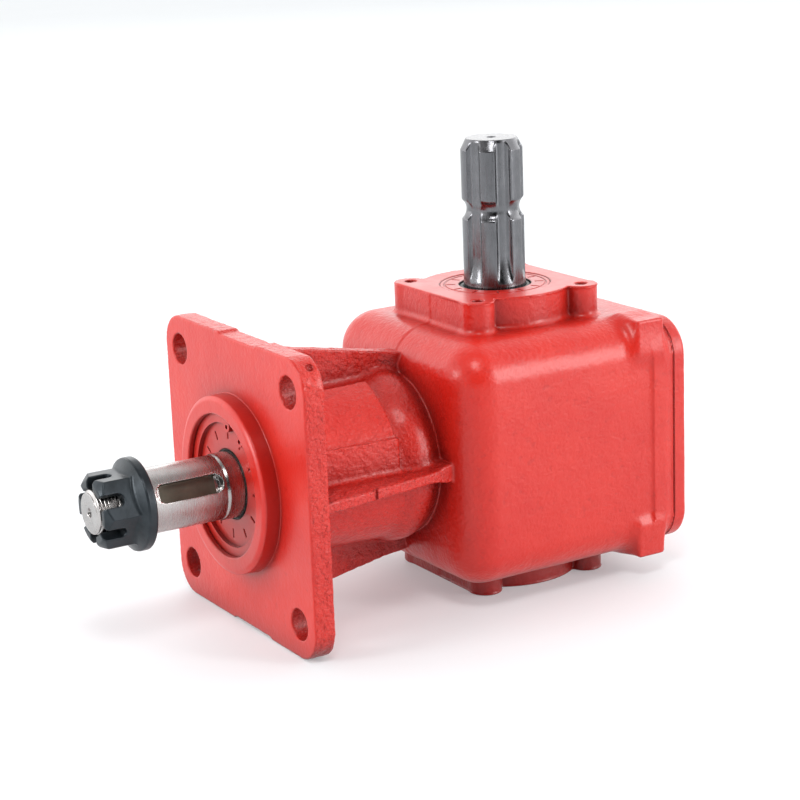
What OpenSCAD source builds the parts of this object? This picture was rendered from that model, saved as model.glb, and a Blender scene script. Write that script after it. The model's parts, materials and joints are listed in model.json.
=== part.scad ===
// Right angle bevel gearbox. A splined input shaft along Z turns a crown gear, which drives a
// pinion on a keyed output shaft along X. Both run in taper roller bearings in a cast housing
// that bolts up by a square flange. Millimetres, +Z up.
// Origin: centre of the flange's mounting face, on the output shaft's axis.

/* [Layout] */
// Flange face to the input shaft's axis
axis_x = 168; // [168:0.5:170]
// Output shaft's axis down to the underside
base_drop = 80.5; // [80.5:0.5:82]
// Output shaft's axis up to the top pad's face
top_pad_z = 85.8; // [85.8:0.1:87]

/* [Flange] */
// Width of the flange along Y
flange_w = 158; // [156:1:164]
// Height of the flange along Z
flange_h = 161; // [158:1:164]
// Thickness of the flange plate
flange_t = 12; // [11:0.5:14]
// Corner radius of the flange
flange_corner_r = 17; // [12:1:20]
// Distance between flange bolt holes
flange_bolt_pitch = 124; // [120:1:128]
// Diameter of the flange bolt holes
flange_bolt_d = 17; // [13:0.5:17]
// Diameter of the locating pilot
pilot_d = 97; // [94:1:100]
// Height of the locating pilot
pilot_h = 10; // [8:0.5:11]

/* [Box] */
// Width of the gear box along Y
box_w = 144; // [142:1:150]
// Height of the gear box along Z
box_h = 137.5; // [136:0.5:140]
// Input axis to the box's flange-side wall
box_back = 69; // [68:1:72]
// Input axis to the side cover's joint
box_front = 70; // [68:1:74]
// Wall thickness
wall_t = 8; // [7:0.5:9]
// Radius of the box's four long edges
box_edge_r = 20; // [16:1:24]
// Radius of the edges round the flange-side wall
box_end_r = 24; // [18:1:26]
// Height and width of the corner ears by the cover joint
ear_size = 20; // [16:1:22]
// Length of the corner ears along X
ear_l = 20; // [16:1:22]

/* [Pads] */
// Diameter of the round boss in each pad
pad_d = 86.8; // [84:0.2:90]
// Distance between the tapped holes in a pad
pad_pitch = 68.8; // [68:0.2:70]
// Radius of the lug round each tapped hole
pad_lug_r = 9.5; // [8:0.5:11]
// Bore of the tapped holes
pad_hole_d = 6.8; // [6.8:0.2:8]

/* [Neck] */
// Diameter of the neck behind the flange
neck_d = 87; // [86:1:92]
// Diameter of the neck's bell at the box
bell_d = 98; // [94:1:102]
// Thickness of the four gussets
gusset_t = 7; // [6:0.5:10]
// Reach of a gusset from the axis, at the flange
gusset_reach = 73; // [68:1:76]
// Reach of a gusset from the axis, at the box
gusset_reach_end = 57.5; // [55:0.5:62]

/* [Side cover] */
// Height of the cover and of the box's joint flange
joint_h = 129; // [128:0.5:131]
// Thickness of the box's joint flange
joint_flange_t = 5.5; // [4:0.5:8]
// Thickness of the cover
cover_t = 7.5; // [7:0.5:10]
// Thickness of the gasket
gasket_t = 0.5; // [0.3:0.1:0.8]
// Corner radius of the cover
cover_corner_r = 20; // [18:1:22]

/* [Gears] */
// Module at the heel
gear_module = 4; // [4:0.05:4.1]
// Teeth on the crown gear
crown_teeth = 25; // [25:1:25]
// Teeth on the pinion
pinion_teeth = 17; // [17:1:17]
// Face width of the teeth
gear_face = 20; // [18:1:21]
// Backlash at the heel's pitch circle
backlash = 0.3; // [0.2:0.05:0.5]

/* [Input shaft] */
// Length of shaft above the top pad
input_reach = 81.8; // [78:0.1:86]
// Major diameter of the six-tooth spline
spline_major_d = 34.9; // [34.8:0.02:34.92]
// Minor diameter of the spline
spline_minor_d = 29.4; // [29.2:0.1:29.7]
// Width of a spline tooth
spline_tooth_w = 8.6; // [8.5:0.02:8.64]
// Shaft end to the middle of the locking groove
lock_groove_drop = 39; // [38:0.5:40]
// Radius of the locking groove's section
lock_groove_r = 6.5; // [6:0.1:6.8]

/* [Output shaft] */
// Length of shaft in front of the flange face
output_reach = 85.7; // [84:0.1:90]
// Diameter of the keyed end
output_d = 35; // [34:0.5:36]
// Diameter of the threaded end
thread_d = 24; // [24:0.5:26]
// Width of the output keyway
keyway_w = 10; // [8:1:10]
// Length of the output keyway
keyway_l = 38; // [30:1:38]
// Tilt of the keyway above the near side
keyway_tilt = 25; // [0:1:45]

/* [Castle nut] */
// Width of the nut across flats
nut_af = 36; // [36:0.5:41]
// Diameter of the nut's collar
nut_collar_d = 49.7; // [46:0.1:52]
// Length of the nut
nut_l = 26.5; // [24:0.5:27]
// Width of a nut slot
nut_slot_w = 7; // [6:0.5:8]

/* [Hidden] */
$fn = 48;

paint = "#c8231e";
steel = "#9a9a9c";
black_steel = "#33383c";
seal_rubber = "#3a2522";
brass = "#b08d3c";

// Box along X
box_x0 = axis_x - box_back;
joint_x = axis_x + box_front;
cavity_x0 = box_x0 + wall_t;
cavity_w = box_w - 2 * wall_t;
cavity_h = joint_h - 2 * wall_t;
cavity_r = box_edge_r - wall_t;
cover_x = joint_x + gasket_t;
flange_x = joint_x - joint_flange_t;

// Gaps left between pieces
running_gap = 0.05;
seat_gap = 0.02;
eps = 0.01;

// Input side, heights above the output axis
input_bore_d = 62;
input_journal_d = 35;
gear_seat_d = 40;
input_collar_d = 44;
input_bearing_t = 18;
input_cup_t = 14;
circlip_t = 2;
shim_t = 1;
seal_t = 10;
seal_recess = 0.4;
input_seal_z = top_pad_z - seal_recess - seal_t;
upper_circlip_z = 73;
upper_bearing_z = upper_circlip_z - shim_t;
lower_bearing_z = -70.5;
lower_circlip_z = lower_bearing_z - circlip_t;
cap_t = 7;
cap_z = -base_drop + 0.5;
seat_boss_d = 80;
seat_boss_top = 52.5;
seat_boss_bottom = -51.5;
gear_hub_z = -50;
gear_top_z = -22;

// Output side, distances along X
output_bore_d = 68;
pilot_bevel_r = 2;
pilot_bevel_l = 1.2;
seal_bore_d = 78;
seal_face_x = -4.2;
seal_journal_d = 36;
output_journal_d = 40;
pinion_seat_d = 30;
output_collar_d = 48;
output_bearing_t = 19;
output_cup_t = 14.5;
output_circlip_t = 2.5;
seal_bore_end = seal_face_x + seal_t + 0.3;
front_circlip_x = 12;
front_bearing_x = front_circlip_x + output_circlip_t;
rear_bearing_x = 99;
rear_circlip_x = rear_bearing_x;
pinion_hub_x = 102;
pinion_toe_x = 137;
pinion_circlip_t = 2;
output_end_x = 142;
relief_d = 73;
step_x = -13.8;
nut_back_x = -58;
keyway_x1 = -16;
keyway_depth = 5;
cross_hole_d = 5;

// Keys, their foot and top measured from the shaft's axis
crown_key_w = 12;
crown_key_l = 26;
crown_key_z = gear_hub_z + 1;
crown_key_foot = 15;
crown_key_top = 23.3;
pinion_key_w = 8;
pinion_key_l = 28;
pinion_key_x = pinion_hub_x + 2;
pinion_key_foot = 11;
pinion_key_top = 18.3;

// Bevel geometry
ratio_angle = atan(crown_teeth / pinion_teeth);
crown_cone = ratio_angle;
pinion_cone = 90 - ratio_angle;
cone_dist = gear_module * crown_teeth / 2 / sin(crown_cone);
pressure = 20;
addendum = gear_module;
dedendum = 1.25 * gear_module;
flank_steps = 5;

// Corner and mid-side places of the cover screws, as [y, z]
screw_d = 8;
screw_head_d = 16;
screw_head_h = 4.4;
screw_places = [
    for (sy = [-1, 0, 1], sz = [-1, 0, 1])
        if (sy != 0 || sz != 0)
            [sy * (sz == 0 ? 62 : 56), sz * (sy == 0 ? 54 : 50)]
];
screw_l = 22;

// Plugs in the cover, as [y, z]
plug_d = 16;
plug_af = 17;
plug_head_h = 8;
plug_boss_d = 30;
plug_boss_h = 4;
plug_washer_d = 22;
plug_washer_t = 1.5;
plug_boss_x = cover_x + cover_t + plug_boss_h;
plug_places = [[0, 30], [-36, 0], [0, -30]];

module along_x(x) {
    translate([x, 0, 0])
        rotate([0, 90, 0])
            children();
}

module input_axis(z) {
    translate([axis_x, 0, z])
        children();
}

module rounded_rect(w, h, r) {
    square([w, h - 2 * r], center = true);
    square([w - 2 * r, h], center = true);
    for (sx = [-1, 1], sy = [-1, 1])
        translate([sx * (w / 2 - r), sy * (h / 2 - r)])
            circle(r = r);
}

// Outline from x0 to x1 whose corners at x0 alone are round
module half_rounded(x0, x1, h, r) {
    translate([x0 + r, -h / 2])
        square([x1 - x0 - r, h]);
    translate([x0, -h / 2 + r])
        square([r + 1, h - 2 * r]);
    for (s = [-1, 1])
        translate([x0 + r, s * (h / 2 - r)])
            circle(r = r);
}

// Box closed and rounded at x0, with long edges of radius r, square at x1
module round_backed_box(x0, x1, w, h, r, end_r) {
    intersection() {
        translate([x0, 0, 0])
            rotate([90, 0, 90])
                linear_extrude(x1 - x0)
                    rounded_rect(w, h, r);
        linear_extrude(h + 2, center = true)
            half_rounded(x0, x1, w, end_r);
        rotate([90, 0, 0])
            linear_extrude(w + 2, center = true)
                half_rounded(x0, x1, h, end_r);
    }
}

module ring(outer_d, inner_d, h) {
    difference() {
        cylinder(d = outer_d, h = h);
        translate([0, 0, -1])
            cylinder(d = inner_d, h = h + 2);
    }
}

// ---- Housing ----

module pad_outline() {
    reach = pad_d / 2;
    circle(d = pad_d, $fn = 96);
    square([2 * reach, pad_pitch], center = true);
    for (sx = [-1, 1], sy = [-1, 1])
        translate([sx * pad_pitch / 2, sy * pad_pitch / 2])
            circle(r = pad_lug_r);
}

module pad_holes(z, depth) {
    for (sx = [-1, 1], sy = [-1, 1])
        translate([axis_x + sx * pad_pitch / 2, sy * pad_pitch / 2, z])
            cylinder(d = pad_hole_d, h = depth);
}

module gussets() {
    sunk = 10;
    for (a = [0:90:270])
        rotate([a, 0, 0])
            translate([0, gusset_t / 2, 0])
                rotate([90, 0, 0])
                    linear_extrude(gusset_t)
                        polygon([
                            [flange_t - 1, 0],
                            [flange_t - 1, gusset_reach],
                            [box_x0 + sunk, gusset_reach_end],
                            [box_x0 + sunk, 0]
                        ]);
}

module neck() {
    bell_x = 77;
    bell_round = 11;
    bell_rise = (bell_d - neck_d) / 2 - 2;
    rotate([0, 90, 0])
        rotate_extrude()
            polygon([
                [0, 0],
                [neck_d / 2, 0],
                [bell_d / 2 - bell_rise, bell_x],
                for (a = [30:30:90])
                    [bell_d / 2 - bell_rise * (1 - sin(a)), bell_x + bell_round * (1 - cos(a))],
                [bell_d / 2, cavity_x0],
                [0, cavity_x0]
            ]);
}

// Raised panel cast on the near side of the neck
module neck_panel() {
    panel_r = 46.5;
    panel_x1 = 74;
    panel_low = 22;
    panel_high = 78;
    rotate([0, 90, 0])
        rotate([0, 0, -90 - panel_high])
            rotate_extrude(angle = panel_high - panel_low)
                translate([30, flange_t - 1])
                    square([panel_r - 30, panel_x1 - flange_t + 1]);
    translate([flange_t - 1, -panel_r, 3])
        cube([panel_x1 - flange_t + 1, 16, 14]);
}

module ears() {
    for (sy = [-1, 1], sz = [-1, 1])
        translate([flange_x - ear_l, sy * (box_w - ear_size) / 2, sz * (box_h - ear_size) / 2])
            translate([0, -ear_size / 2, -ear_size / 2])
                cube([ear_l, ear_size, ear_size]);
}

module housing_outside() {
    rotate([90, 0, 90])
        linear_extrude(flange_t)
            rounded_rect(flange_w, flange_h, flange_corner_r);
    along_x(-pilot_h)
        cylinder(d1 = pilot_d - 2 * pilot_bevel_r, d2 = pilot_d, h = pilot_bevel_l, $fn = 96);
    along_x(-pilot_h + pilot_bevel_l)
        cylinder(d = pilot_d, h = pilot_h, $fn = 96);
    neck();
    neck_panel();
    gussets();
    round_backed_box(box_x0, flange_x, box_w, box_h, box_edge_r, box_end_r);
    ears();
    translate([flange_x - 1, 0, 0])
        rotate([90, 0, 90])
            linear_extrude(joint_flange_t + 1)
                cover_outline(0);
    input_axis(box_h / 2 - wall_t)
        linear_extrude(top_pad_z - box_h / 2 + wall_t)
            pad_outline();
    input_axis(-base_drop)
        linear_extrude(base_drop - box_h / 2 + wall_t)
            pad_outline();
}

// Bearing seats and screw bosses that stand inside the cavity
module inner_bosses() {
    boss_r = 9;
    boss_l = 24;
    input_axis(seat_boss_top)
        cylinder(d = seat_boss_d, h = cavity_h / 2 - seat_boss_top + 1);
    input_axis(-cavity_h / 2 - 1)
        cylinder(d = seat_boss_d, h = cavity_h / 2 + seat_boss_bottom + 1);
    for (p = screw_places)
        translate([joint_x - boss_l, p[0], p[1]])
            rotate([0, 90, 0])
                cylinder(r = boss_r, h = boss_l);
}

module bore_groove(bore_d, t) {
    cylinder(d = bore_d + 3, h = t + 0.15);
}

module housing() {
    color(paint)
        difference() {
            union() {
                difference() {
                    housing_outside();
                    round_backed_box(
                        cavity_x0, joint_x + 1, cavity_w, cavity_h, cavity_r, cavity_r
                    );
                }
                intersection() {
                    inner_bosses();
                    round_backed_box(
                        box_x0 + 1, joint_x, box_w - 2, box_h - 2, box_edge_r - 1, box_end_r
                    );
                }
            }
            // Input bores, top and bottom
            input_axis(-base_drop - 1)
                cylinder(d = input_bore_d, h = base_drop + top_pad_z + 2);
            input_axis(upper_circlip_z)
                bore_groove(input_bore_d, circlip_t);
            input_axis(lower_circlip_z - 0.15)
                bore_groove(input_bore_d, circlip_t);
            // Output bore through the neck
            along_x(-pilot_h - 1)
                cylinder(d = seal_bore_d, h = pilot_h + 1 + seal_bore_end);
            along_x(0)
                cylinder(d = output_bore_d, h = cavity_x0 + 1);
            along_x(seal_face_x - output_circlip_t - 0.15)
                bore_groove(seal_bore_d, output_circlip_t);
            along_x(front_circlip_x - 0.15)
                bore_groove(output_bore_d, output_circlip_t);
            along_x(rear_circlip_x)
                bore_groove(output_bore_d, output_circlip_t);
            along_x(38)
                cylinder(d = relief_d, h = 38);
            // Flange bolt holes
            for (sy = [-1, 1], sz = [-1, 1])
                translate([-1, sy * flange_bolt_pitch / 2, sz * flange_bolt_pitch / 2])
                    rotate([0, 90, 0])
                        cylinder(d = flange_bolt_d, h = flange_t + 2);
            pad_holes(top_pad_z - 14, 15);
            pad_holes(-base_drop - 1, 13);
            for (p = screw_places)
                translate([joint_x - screw_l, p[0], p[1]])
                    rotate([0, 90, 0])
                        cylinder(d = screw_d, h = screw_l + 1);
        }
}

// ---- Side cover and closures ----

module cover_outline(inset) {
    rounded_rect(box_w - 2 * inset, joint_h - 2 * inset, cover_corner_r - inset);
}

module side_cover() {
    edge = 1.5;
    color(paint)
        difference() {
            union() {
                translate([cover_x, 0, 0])
                    rotate([90, 0, 90])
                        linear_extrude(cover_t - edge)
                            cover_outline(0);
                translate([cover_x + cover_t - edge, 0, 0])
                    rotate([90, 0, 90])
                        linear_extrude(edge)
                            cover_outline(edge);
                for (p = plug_places)
                    translate([cover_x, p[0], p[1]])
                        rotate([0, 90, 0])
                            cylinder(d = plug_boss_d, h = cover_t + plug_boss_h);
            }
            for (p = plug_places)
                translate([cover_x - 1, p[0], p[1]])
                    rotate([0, 90, 0])
                        cylinder(d = plug_d + 2 * seat_gap, h = cover_t + plug_boss_h + 2);
            for (p = screw_places)
                translate([cover_x, p[0], p[1]])
                    rotate([0, 90, 0])
                        countersunk_hole();
        }
}

module countersunk_hole() {
    translate([0, 0, -1])
        cylinder(d = screw_d + 1, h = cover_t + 2);
    translate([0, 0, cover_t - screw_head_h])
        cylinder(d1 = screw_d + 1, d2 = screw_head_d + 0.6, h = screw_head_h + eps);
}

module cover_gasket() {
    band = wall_t + 1;
    color("#2c2a28")
        translate([joint_x, 0, 0])
            rotate([90, 0, 90])
                linear_extrude(gasket_t)
                    difference() {
                        cover_outline(0.5);
                        difference() {
                            rounded_rect(box_w - 2 * band, joint_h - 2 * band, cavity_r);
                            for (p = screw_places)
                                translate(p)
                                    circle(r = screw_d / 2 + 4);
                        }
                        for (p = screw_places)
                            translate(p)
                                circle(d = screw_d + 1);
                    }
}

module cover_screws() {
    shank = screw_l - 2;
    socket_af = 5;
    for (p = screw_places)
        color(black_steel)
            translate([cover_x + cover_t, p[0], p[1]])
                rotate([0, -90, 0])
                    difference() {
                        union() {
                            cylinder(d1 = screw_head_d, d2 = screw_d, h = screw_head_h);
                            cylinder(d = screw_d - 2 * seat_gap, h = shank);
                        }
                        translate([0, 0, -1])
                            cylinder(d = socket_af / cos(30), h = 4, $fn = 6);
                    }
}

module bottom_cap() {
    cap_wall = 1.5;
    color(paint)
        input_axis(cap_z)
            difference() {
                cylinder(d = input_bore_d - 2 * seat_gap, h = cap_t);
                translate([0, 0, cap_wall])
                    cylinder(d = input_bore_d - 2 * cap_wall, h = cap_t);
            }
}

// Hex-head plug whose head sits on a washer on the cover's boss, pointing out along +X
module hex_plug(place) {
    shank_l = cover_t + plug_boss_h + plug_washer_t + 1;
    translate([plug_boss_x + plug_washer_t, place[0], place[1]])
        rotate([0, 90, 0]) {
            intersection() {
                cylinder(d = plug_af / cos(30), h = plug_head_h, $fn = 6);
                cylinder(d1 = plug_af + 9, d2 = plug_af + 1, h = plug_head_h);
            }
            translate([0, 0, -shank_l])
                cylinder(d = plug_d, h = shank_l);
        }
}

module breather_plug() {
    cap_d = 15;
    cap_l = 4.5;
    head_x = plug_boss_x + plug_washer_t + plug_head_h;
    vent_x = head_x + cap_l / 2;
    color(brass)
        translate([0, plug_places[0][0], plug_places[0][1]])
            difference() {
                union() {
                    hex_plug([0, 0]);
                    along_x(head_x - 0.5)
                        cylinder(d = cap_d, h = cap_l + 0.5);
                }
                along_x(cover_x - 5)
                    cylinder(d = 3, h = vent_x - cover_x + 5);
                translate([vent_x, 0, -cap_d])
                    cylinder(d = 2.5, h = 2 * cap_d, $fn = 24);
            }
}

module level_plug() {
    color(steel)
        hex_plug(plug_places[1]);
}

module drain_plug() {
    color(steel)
        hex_plug(plug_places[2]);
}

module plug_washers() {
    color("#b5652f")
        for (p = plug_places)
            translate([plug_boss_x, p[0], p[1]])
                rotate([0, 90, 0])
                    ring(plug_washer_d, plug_d + 0.2, plug_washer_t);
}

// ---- Gears ----

// Involute function of a pressure angle, in degrees
function inv(a) = tan(a) * 180 / PI - a;

// Half-thickness angle of a tooth at radius rho on the flattened back cone of radius rv
function half_tooth(rho, rv, play) =
    let (base_r = rv * cos(pressure))
    let (here = acos(min(1, base_r / rho)))
    let (half_pitch = (PI * gear_module / 2 - play) / 2 / rv * 180 / PI)
    half_pitch + inv(pressure) - inv(here);

// Radius in the heel plane of a back-cone point at radius rho
function heel_radius(rho, cone, plane) =
    rho * cos(cone) * plane / (cone_dist / cos(cone) - rho * sin(cone));

function polar(r, a) = [r * cos(a), r * sin(a)];

// One tooth's points, from its left root to its right root
function tooth_points(cone, plane, teeth, index) =
    let (rv = gear_module * teeth / 2 / cos(cone))
    let (base_r = rv * cos(pressure))
    let (root = rv - dedendum)
    let (start = max(root + 0.4, base_r + 0.05))
    let (tip = rv + addendum)
    let (mid = index * 360 / teeth)
    let (rhos = [for (i = [0:flank_steps]) start + (tip - start) * i / flank_steps])
    let (foot = half_tooth(start, rv, backlash / 2) + 0.6)
    concat(
        [polar(heel_radius(root, cone, plane), mid - foot / cos(cone))],
        [for (p = rhos) polar(heel_radius(p, cone, plane),
            mid - half_tooth(p, rv, backlash / 2) / cos(cone))],
        [for (i = [flank_steps:-1:0]) polar(heel_radius(rhos[i], cone, plane),
            mid + half_tooth(rhos[i], rv, backlash / 2) / cos(cone))],
        [polar(heel_radius(root, cone, plane), mid + foot / cos(cone))]
    );

// Teeth that all point at the apex, from the heel plane down to the toe, apex at the origin
module bevel_teeth(cone, teeth) {
    plane = cone_dist * cos(cone) + 6;
    toe_scale = 0.45;
    outline = [for (i = [0:teeth - 1]) each tooth_points(cone, plane, teeth, i)];
    translate([0, 0, plane])
        mirror([0, 0, 1])
            linear_extrude(plane * (1 - toe_scale), scale = toe_scale)
                polygon(outline);
}

// Turned blank of a bevel gear: heel and toe cut square to the pitch cone
module bevel_blank(cone, hub_r, bore_r, heel_back, hub_end, toe_end) {
    heel = [cone_dist * sin(cone), cone_dist * cos(cone)];
    toe = heel * (1 - gear_face / cone_dist);
    out = [cos(cone), -sin(cone)];
    tip_heel = heel + out * (addendum + 3);
    root_heel = heel - out * (dedendum + 2);
    tip_toe = toe + out * (addendum + 3);
    root_toe = toe - out * (dedendum * (1 - gear_face / cone_dist) + 0.5);
    rotate_extrude($fn = 96)
        polygon([
            [bore_r, toe_end],
            [root_toe[0], toe_end],
            root_toe,
            tip_toe,
            tip_heel,
            root_heel,
            [root_heel[0], heel_back],
            [hub_r, heel_back],
            [hub_r, hub_end],
            [bore_r, hub_end]
        ]);
}

// Conical core that fills the gear inside its tooth roots
module bevel_core(cone) {
    root_cone = cone - atan(dedendum / cone_dist) + 0.2;
    far = cone_dist * cos(cone) + 30;
    rotate_extrude($fn = 96)
        polygon([[0, 0], [far * tan(root_cone), far], [0, far]]);
}

module bevel_gear(cone, teeth, hub_r, bore_r, heel_back, hub_end, toe_end) {
    intersection() {
        union() {
            bevel_teeth(cone, teeth);
            bevel_core(cone);
        }
        bevel_blank(cone, hub_r, bore_r, heel_back, hub_end, toe_end);
    }
}

module crown_gear() {
    hub_r = 33;
    heel_back = 44;
    color(steel)
        input_axis(0)
            difference() {
                rotate([180, 0, 0])
                    rotate([0, 0, 180])
                        bevel_gear(
                            crown_cone, crown_teeth, hub_r, gear_seat_d / 2 + seat_gap,
                            heel_back, -gear_hub_z, -gear_top_z
                        );
                translate([0, -crown_key_w / 2 - seat_gap, gear_hub_z - 1])
                    cube([
                        crown_key_top + running_gap,
                        crown_key_w + 2 * seat_gap,
                        gear_top_z - gear_hub_z + 4
                    ]);
            }
}

// Room for the crown gear's key, sunk in the shaft
module crown_key_space() {
    translate([crown_key_foot, -crown_key_w / 2, crown_key_z])
        cube([crown_key_top - crown_key_foot, crown_key_w, crown_key_l]);
}

module crown_key() {
    color(steel)
        input_axis(0)
            crown_key_space();
}

module pinion_gear() {
    hub_r = 29;
    heel_back = 58;
    color(steel)
        difference() {
            translate([axis_x, 0, 0])
                rotate([0, -90, 0])
                    bevel_gear(
                        pinion_cone, pinion_teeth, hub_r, pinion_seat_d / 2 + seat_gap,
                        heel_back, axis_x - pinion_hub_x, axis_x - pinion_toe_x
                    );
            translate([pinion_hub_x - 1, -pinion_key_w / 2 - seat_gap, 0])
                cube([
                    pinion_toe_x - pinion_hub_x + 5,
                    pinion_key_w + 2 * seat_gap,
                    pinion_key_top + running_gap
                ]);
        }
}

// Room for the pinion's key, sunk in the shaft
module pinion_key_space() {
    translate([pinion_key_x, -pinion_key_w / 2, pinion_key_foot])
        cube([pinion_key_l, pinion_key_w, pinion_key_top - pinion_key_foot]);
}

module pinion_key() {
    color(steel)
        pinion_key_space();
}

// ---- Shafts ----

module spline_valleys() {
    full_depth_z = top_pad_z + 18;
    hob_r = 45;
    major = spline_major_d / 2;
    minor = spline_minor_d / 2;
    run_out = sqrt(hob_r * hob_r - pow(hob_r - (major + 0.3 - minor), 2));
    top = top_pad_z + input_reach + 1;
    intersection() {
        translate([0, 0, full_depth_z - run_out - 1])
            linear_extrude(top - full_depth_z + run_out + 1)
                difference() {
                    circle(r = major + 3);
                    for (a = [0:60:120])
                        rotate(a + 47.5)
                            square([3 * major, spline_tooth_w], center = true);
                }
        rotate_extrude()
            polygon([
                [minor, top],
                for (i = [0:8])
                    let (d = run_out * i / 8)
                    [minor + hob_r - sqrt(hob_r * hob_r - d * d), full_depth_z - d],
                [major + 4, full_depth_z - run_out],
                [major + 4, top]
            ]);
    }
}

module input_shaft() {
    top = top_pad_z + input_reach;
    major = spline_major_d / 2;
    journal = input_journal_d / 2;
    bottom = lower_bearing_z - 1.5;
    chamfer_l = 6;
    chamfer_r = 3.2;
    color(steel)
        input_axis(0)
            difference() {
                rotate_extrude($fn = 96)
                    polygon([
                        [0, bottom],
                        [journal - 1, bottom],
                        [journal, bottom + 1],
                        [journal, gear_hub_z],
                        [gear_seat_d / 2, gear_hub_z],
                        [gear_seat_d / 2, gear_top_z],
                        [input_collar_d / 2, gear_top_z],
                        [input_collar_d / 2, upper_bearing_z - input_bearing_t],
                        [journal, upper_bearing_z - input_bearing_t],
                        [journal, top_pad_z + 0.5],
                        [major, top_pad_z + 1],
                        [major, top - chamfer_l],
                        [major - chamfer_r, top],
                        [0, top]
                    ]);
                spline_valleys();
                translate([0, 0, top - lock_groove_drop])
                    rotate_extrude()
                        translate([spline_minor_d / 2 + 0.1 + lock_groove_r, 0])
                            circle(r = lock_groove_r);
                translate([0, 0, top - 6])
                    cylinder(d1 = 1, d2 = 5, h = 6 + eps);
                crown_key_space();
            }
}

module gear_spacer() {
    color(steel)
        input_axis(gear_hub_z - 2.5)
            ring(input_collar_d, input_journal_d + 0.1, 2.5);
}

// Slot with round ends along X, cut from z = 0 up
module round_slot(x0, x1, w, h) {
    translate([x0 + w / 2, -w / 2, 0])
        cube([x1 - x0 - w, w, h]);
    for (x = [x0 + w / 2, x1 - w / 2])
        translate([x, 0, 0])
            cylinder(d = w, h = h);
}

// Turns +Z to point at an angle above -Y, about the output shaft
module above_near_side(angle) {
    rotate([90 - angle, 0, 0])
        children();
}

module output_shaft() {
    journal = output_journal_d / 2;
    seal_journal = seal_journal_d / 2;
    keyed = output_d / 2;
    thread = thread_d / 2;
    seat = pinion_seat_d / 2;
    collar = output_collar_d / 2;
    collar_x0 = front_bearing_x + output_bearing_t;
    collar_x1 = rear_bearing_x - output_bearing_t;
    groove_r = seat - 0.7;
    color(steel)
        difference() {
            rotate([0, 90, 0])
                rotate_extrude($fn = 96)
                    polygon([
                        [0, -output_reach],
                        [thread - 0.8, -output_reach],
                        [thread, -output_reach + 1.2],
                        [thread, nut_back_x],
                        [keyed - 1, nut_back_x],
                        [keyed, nut_back_x + 1],
                        [keyed, step_x - 0.5],
                        [seal_journal, step_x + 0.5],
                        [seal_journal, front_circlip_x - 2],
                        [journal - 0.8, front_circlip_x - 0.5],
                        [journal, front_circlip_x + 0.5],
                        [journal, collar_x0],
                        [collar, collar_x0],
                        [collar, collar_x1],
                        [journal, collar_x1],
                        [journal, pinion_hub_x],
                        [seat, pinion_hub_x],
                        [seat, pinion_toe_x],
                        [groove_r, pinion_toe_x],
                        [groove_r, pinion_toe_x + pinion_circlip_t + 0.1],
                        [seat, pinion_toe_x + pinion_circlip_t + 0.1],
                        [seat, output_end_x - 1],
                        [seat - 1, output_end_x],
                        [0, output_end_x]
                    ]);
            above_near_side(keyway_tilt)
                translate([0, 0, keyed - keyway_depth])
                    round_slot(keyway_x1 - keyway_l, keyway_x1, keyway_w, keyway_depth + 3);
            translate([-output_reach - eps, 0, 0])
                rotate([0, 90, 0])
                    cylinder(d1 = 4, d2 = 1, h = 6);
            // Hole for a split pin through the nut's slots
            translate([nut_back_x - nut_l + 9, 0, 0])
                above_near_side(30)
                    cylinder(d = cross_hole_d, h = 3 * thread_d, center = true);
            pinion_key_space();
        }
}

module pinion_spacer() {
    color(steel)
        along_x(rear_bearing_x)
            ring(50, output_journal_d + 0.1, pinion_hub_x - rear_bearing_x);
}

module castle_nut() {
    collar_t = 5;
    cone_t = 3;
    slot_depth = 12.3;
    color(black_steel)
        along_x(nut_back_x)
            mirror([0, 0, 1])
                difference() {
                    union() {
                        cylinder(d = nut_collar_d, h = collar_t);
                        translate([0, 0, collar_t])
                            cylinder(d1 = nut_collar_d, d2 = nut_af + 2, h = cone_t);
                        intersection() {
                            rotate([0, 0, 30])
                                cylinder(d = nut_af / cos(30), h = nut_l, $fn = 6);
                            union() {
                                cylinder(d = 2 * nut_af, h = nut_l - 4);
                                translate([0, 0, nut_l - 4])
                                    cylinder(d1 = nut_af / cos(30) + 1, d2 = nut_af - 2.5, h = 4);
                            }
                        }
                    }
                    translate([0, 0, -1])
                        cylinder(d = thread_d + 2 * seat_gap, h = nut_l + 2);
                    for (a = [0:60:300])
                        rotate([0, 0, a])
                            translate([0, -nut_slot_w / 2, nut_l - slot_depth + nut_slot_w / 2]) {
                                cube([nut_af, nut_slot_w, slot_depth]);
                                translate([0, nut_slot_w / 2, 0])
                                    rotate([0, 90, 0])
                                        cylinder(d = nut_slot_w, h = nut_af);
                            }
                }
}

// ---- Seals ----

// Lip seal with its open side at z = 0 and its closed face at z = t
module lip_seal(outer_d, shaft_d, t) {
    outer = outer_d / 2 - seat_gap;
    lip = shaft_d / 2 + running_gap;
    case_t = 2.2;
    face_t = 3;
    inner_edge = lip + 3;
    rotate_extrude($fn = 96)
        polygon([
            [outer - case_t, 0],
            [outer, 0],
            [outer, t - 0.6],
            [outer - 0.6, t],
            [inner_edge, t],
            [lip, t - 1],
            [lip + 0.7, t - face_t],
            [lip, t - 6],
            [lip + 0.7, t - 7],
            [lip + 2, t - 7],
            [lip + 2, t - face_t],
            [outer - case_t, t - face_t]
        ]);
}

module garter_spring(shaft_d) {
    wire_r = 0.8;
    rotate_extrude($fn = 96)
        translate([shaft_d / 2 + running_gap + 2 + wire_r + 0.02, 0])
            circle(r = wire_r, $fn = 16);
}

module input_seal() {
    color(paint)
        input_axis(input_seal_z)
            lip_seal(input_bore_d, input_journal_d, seal_t);
}

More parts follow.
